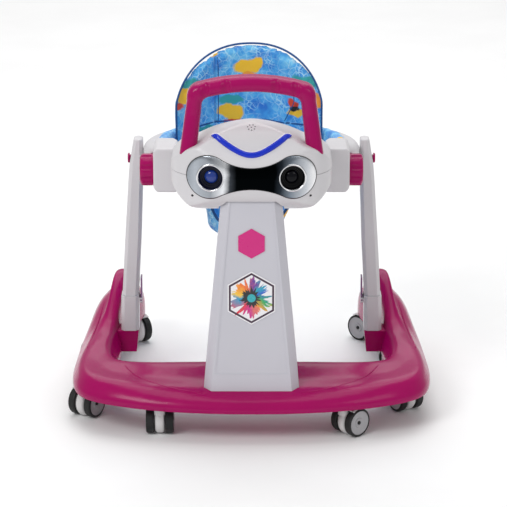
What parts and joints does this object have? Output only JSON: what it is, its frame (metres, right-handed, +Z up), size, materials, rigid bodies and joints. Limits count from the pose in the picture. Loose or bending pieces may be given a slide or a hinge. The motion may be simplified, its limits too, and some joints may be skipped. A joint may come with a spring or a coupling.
{
  "type": "baby walker",
  "caption": "Infant walker with an open U-shaped castor base, front column, face-shaped play console with handle, tray ring, side legs and fabric bucket seat.",
  "frame": {"origin": "on the floor, below the middle of the object's outer box", "axes": "-Y towards the face-shaped console at the front, +X to the right when the console is seen from the front, +Z up"},
  "size_m": [0.6467, 0.591, 0.631],
  "materials": {
    "magenta_plastic": "glossy moulded magenta plastic",
    "white_plastic": "satin-gloss moulded white plastic",
    "black_tyre": "matte black soft plastic tread",
    "black_rubber": "matte black rubber",
    "castor_white": "satin white nylon",
    "castor_grey": "light grey nylon",
    "grey_plastic": "grey acetal bush",
    "magenta_badge": "glossy magenta sticker",
    "printed_badge": "printed sticker with dark border and coloured splashes",
    "mauve_plastic": "semi-gloss mauve plastic",
    "steel": "zinc-plated steel",
    "metallised_mask": "vacuum-metallised plastic, black at the middle and silver at the eyes",
    "chrome_ring": "bright chrome-plated plastic",
    "smoked_lens": "smoked navy lens",
    "blue_light_bar": "translucent blue light bar",
    "black_plastic": "matte black plastic",
    "board_green": "green laminate board",
    "blue_plastic": "glossy blue plastic",
    "printed_fabric": "woven polyester printed with a water pattern"
  },
  "bodies": {
    "root": {"base_shell": "magenta_plastic", "stopper_pads": "black_rubber", "castor_sockets": "grey_plastic", "column_front": "white_plastic", "column_rear": "white_plastic", "badge_small": "magenta_badge", "badge_large": "printed_badge", "leg_boot_left": "white_plastic", "leg_boot_right": "white_plastic", "base_screws": "steel"},
    "upper": {"head_upper_shell": "white_plastic", "head_lower_shell": "white_plastic", "face_mask": "metallised_mask", "eye_rings": "chrome_ring", "eye_lenses": "smoked_lens", "light_strip": "blue_light_bar", "speaker": "black_plastic", "circuit_board": "board_green", "battery_door": "white_plastic", "carry_handle": "magenta_plastic", "tray_ring": "white_plastic", "leg_left": "white_plastic", "leg_right": "white_plastic", "leg_caps": "magenta_plastic", "seat_sling": "printed_fabric", "backrest": "printed_fabric", "head_screws": "steel"},
    "side_knob_left": {"side_knob_left": "magenta_plastic"},
    "side_knob_right": {"side_knob_right": "magenta_plastic"},
    "leg_latch_left": {"leg_latch_left": "mauve_plastic"},
    "leg_latch_right": {"leg_latch_right": "mauve_plastic"},
    "play_button_left": {"play_button_left": "magenta_plastic"},
    "play_button_right": {"play_button_right": "blue_plastic"},
    "power_switch": {"power_switch": "black_plastic"},
    "castor_front_left": {"castor_front_left_fork": "castor_white"},
    "castor_front_left_wheels": {"castor_front_left_rims": "castor_grey", "castor_front_left_tyres": "black_tyre"},
    "castor_front_right": {"castor_front_right_fork": "castor_white"},
    "castor_front_right_wheels": {"castor_front_right_rims": "castor_grey", "castor_front_right_tyres": "black_tyre"},
    "castor_corner_left": {"castor_corner_left_fork": "castor_white"},
    "castor_corner_left_wheels": {"castor_corner_left_rims": "castor_grey", "castor_corner_left_tyres": "black_tyre"},
    "castor_corner_right": {"castor_corner_right_fork": "castor_white"},
    "castor_corner_right_wheels": {"castor_corner_right_rims": "castor_grey", "castor_corner_right_tyres": "black_tyre"},
    "castor_side_left": {"castor_side_left_fork": "castor_white"},
    "castor_side_left_wheels": {"castor_side_left_rims": "castor_grey", "castor_side_left_tyres": "black_tyre"},
    "castor_side_right": {"castor_side_right_fork": "castor_white"},
    "castor_side_right_wheels": {"castor_side_right_rims": "castor_grey", "castor_side_right_tyres": "black_tyre"},
    "castor_rear_left": {"castor_rear_left_fork": "castor_white"},
    "castor_rear_left_wheels": {"castor_rear_left_rims": "castor_grey", "castor_rear_left_tyres": "black_tyre"},
    "castor_rear_right": {"castor_rear_right_fork": "castor_white"},
    "castor_rear_right_wheels": {"castor_rear_right_rims": "castor_grey", "castor_rear_right_tyres": "black_tyre"}
  },
  "joints": [
    {"name": "height_slide", "type": "slide", "parent": "root", "child": "upper", "axis": [0, 0, 1], "range_m": [0, 0.06]},
    {"name": "side_knob_left_turn", "type": "hinge", "parent": "upper", "child": "side_knob_left", "pos_m": [-0.17, -0.057, 0.428], "axis": [-1, 0, 0], "range_deg": [0, 90]},
    {"name": "side_knob_right_turn", "type": "hinge", "parent": "upper", "child": "side_knob_right", "pos_m": [0.17, -0.057, 0.428], "axis": [1, 0, 0], "range_deg": [0, 90]},
    {"name": "leg_latch_left_swing", "type": "hinge", "parent": "root", "child": "leg_latch_left", "pos_m": [-0.204, 0.04, 0.156], "axis": [0, 1, 0], "range_deg": [0, 12], "stiffness_Nm_per_rad": 0.2},
    {"name": "leg_latch_right_swing", "type": "hinge", "parent": "root", "child": "leg_latch_right", "pos_m": [0.204, 0.04, 0.156], "axis": [0, -1, 0], "range_deg": [0, 12], "stiffness_Nm_per_rad": 0.2},
    {"name": "play_button_left_press", "type": "slide", "parent": "upper", "child": "play_button_left", "axis": [0, -0.6198, -0.7848], "range_m": [0, 0.003], "stiffness_N_per_m": 300},
    {"name": "play_button_right_press", "type": "slide", "parent": "upper", "child": "play_button_right", "axis": [0, -0.6198, -0.7848], "range_m": [0, 0.003], "stiffness_N_per_m": 300},
    {"name": "power_switch_slide", "type": "slide", "parent": "upper", "child": "power_switch", "axis": [1, 0, 0], "range_m": [0, 0.007]},
    {"name": "castor_front_left_swivel", "type": "hinge", "parent": "root", "child": "castor_front_left", "pos_m": [-0.16, -0.252, 0.056], "axis": [0, 0, 1], "continuous": true},
    {"name": "castor_front_left_roll", "type": "hinge", "parent": "castor_front_left", "child": "castor_front_left_wheels", "pos_m": [-0.16, -0.235, 0.0255], "axis": [-1, 0, 0], "continuous": true},
    {"name": "castor_front_right_swivel", "type": "hinge", "parent": "root", "child": "castor_front_right", "pos_m": [0.16, -0.252, 0.056], "axis": [0, 0, 1], "continuous": true},
    {"name": "castor_front_right_roll", "type": "hinge", "parent": "castor_front_right", "child": "castor_front_right_wheels", "pos_m": [0.17263, -0.24063, 0.0255], "axis": [-0.6691, 0.7431, 0], "continuous": true},
    {"name": "castor_corner_left_swivel", "type": "hinge", "parent": "root", "child": "castor_corner_left", "pos_m": [-0.285, -0.138, 0.056], "axis": [0, 0, 1], "continuous": true},
    {"name": "castor_corner_left_roll", "type": "hinge", "parent": "castor_corner_left", "child": "castor_corner_left_wheels", "pos_m": [-0.29401, -0.15242, 0.0255], "axis": [0.848, -0.5299, 0], "continuous": true},
    {"name": "castor_corner_right_swivel", "type": "hinge", "parent": "root", "child": "castor_corner_right", "pos_m": [0.285, -0.138, 0.056], "axis": [0, 0, 1], "continuous": true},
    {"name": "castor_corner_right_roll", "type": "hinge", "parent": "castor_corner_right", "child": "castor_corner_right_wheels", "pos_m": [0.27624, -0.12343, 0.0255], "axis": [-0.8572, -0.515, 0], "continuous": true},
    {"name": "castor_side_left_swivel", "type": "hinge", "parent": "root", "child": "castor_side_left", "pos_m": [-0.283, 0.095, 0.056], "axis": [0, 0, 1], "continuous": true},
    {"name": "castor_side_left_roll", "type": "hinge", "parent": "castor_side_left", "child": "castor_side_left_wheels", "pos_m": [-0.3, 0.095, 0.0255], "axis": [0, -1, 0], "continuous": true},
    {"name": "castor_side_right_swivel", "type": "hinge", "parent": "root", "child": "castor_side_right", "pos_m": [0.283, 0.095, 0.056], "axis": [0, 0, 1], "continuous": true},
    {"name": "castor_side_right_roll", "type": "hinge", "parent": "castor_side_right", "child": "castor_side_right_wheels", "pos_m": [0.266, 0.095, 0.0255], "axis": [0, -1, 0], "continuous": true},
    {"name": "castor_rear_left_swivel", "type": "hinge", "parent": "root", "child": "castor_rear_left", "pos_m": [-0.236, 0.25, 0.056], "axis": [0, 0, 1], "continuous": true},
    {"name": "castor_rear_left_roll", "type": "hinge", "parent": "castor_rear_left", "child": "castor_rear_left_wheels", "pos_m": [-0.22674, 0.23574, 0.0255], "axis": [0.8387, 0.5446, 0], "continuous": true},
    {"name": "castor_rear_right_swivel", "type": "hinge", "parent": "root", "child": "castor_rear_right", "pos_m": [0.236, 0.25, 0.056], "axis": [0, 0, 1], "continuous": true},
    {"name": "castor_rear_right_roll", "type": "hinge", "parent": "castor_rear_right", "child": "castor_rear_right_wheels", "pos_m": [0.22357, 0.26159, 0.0255], "axis": [-0.682, -0.7314, 0], "continuous": true}
  ]
}
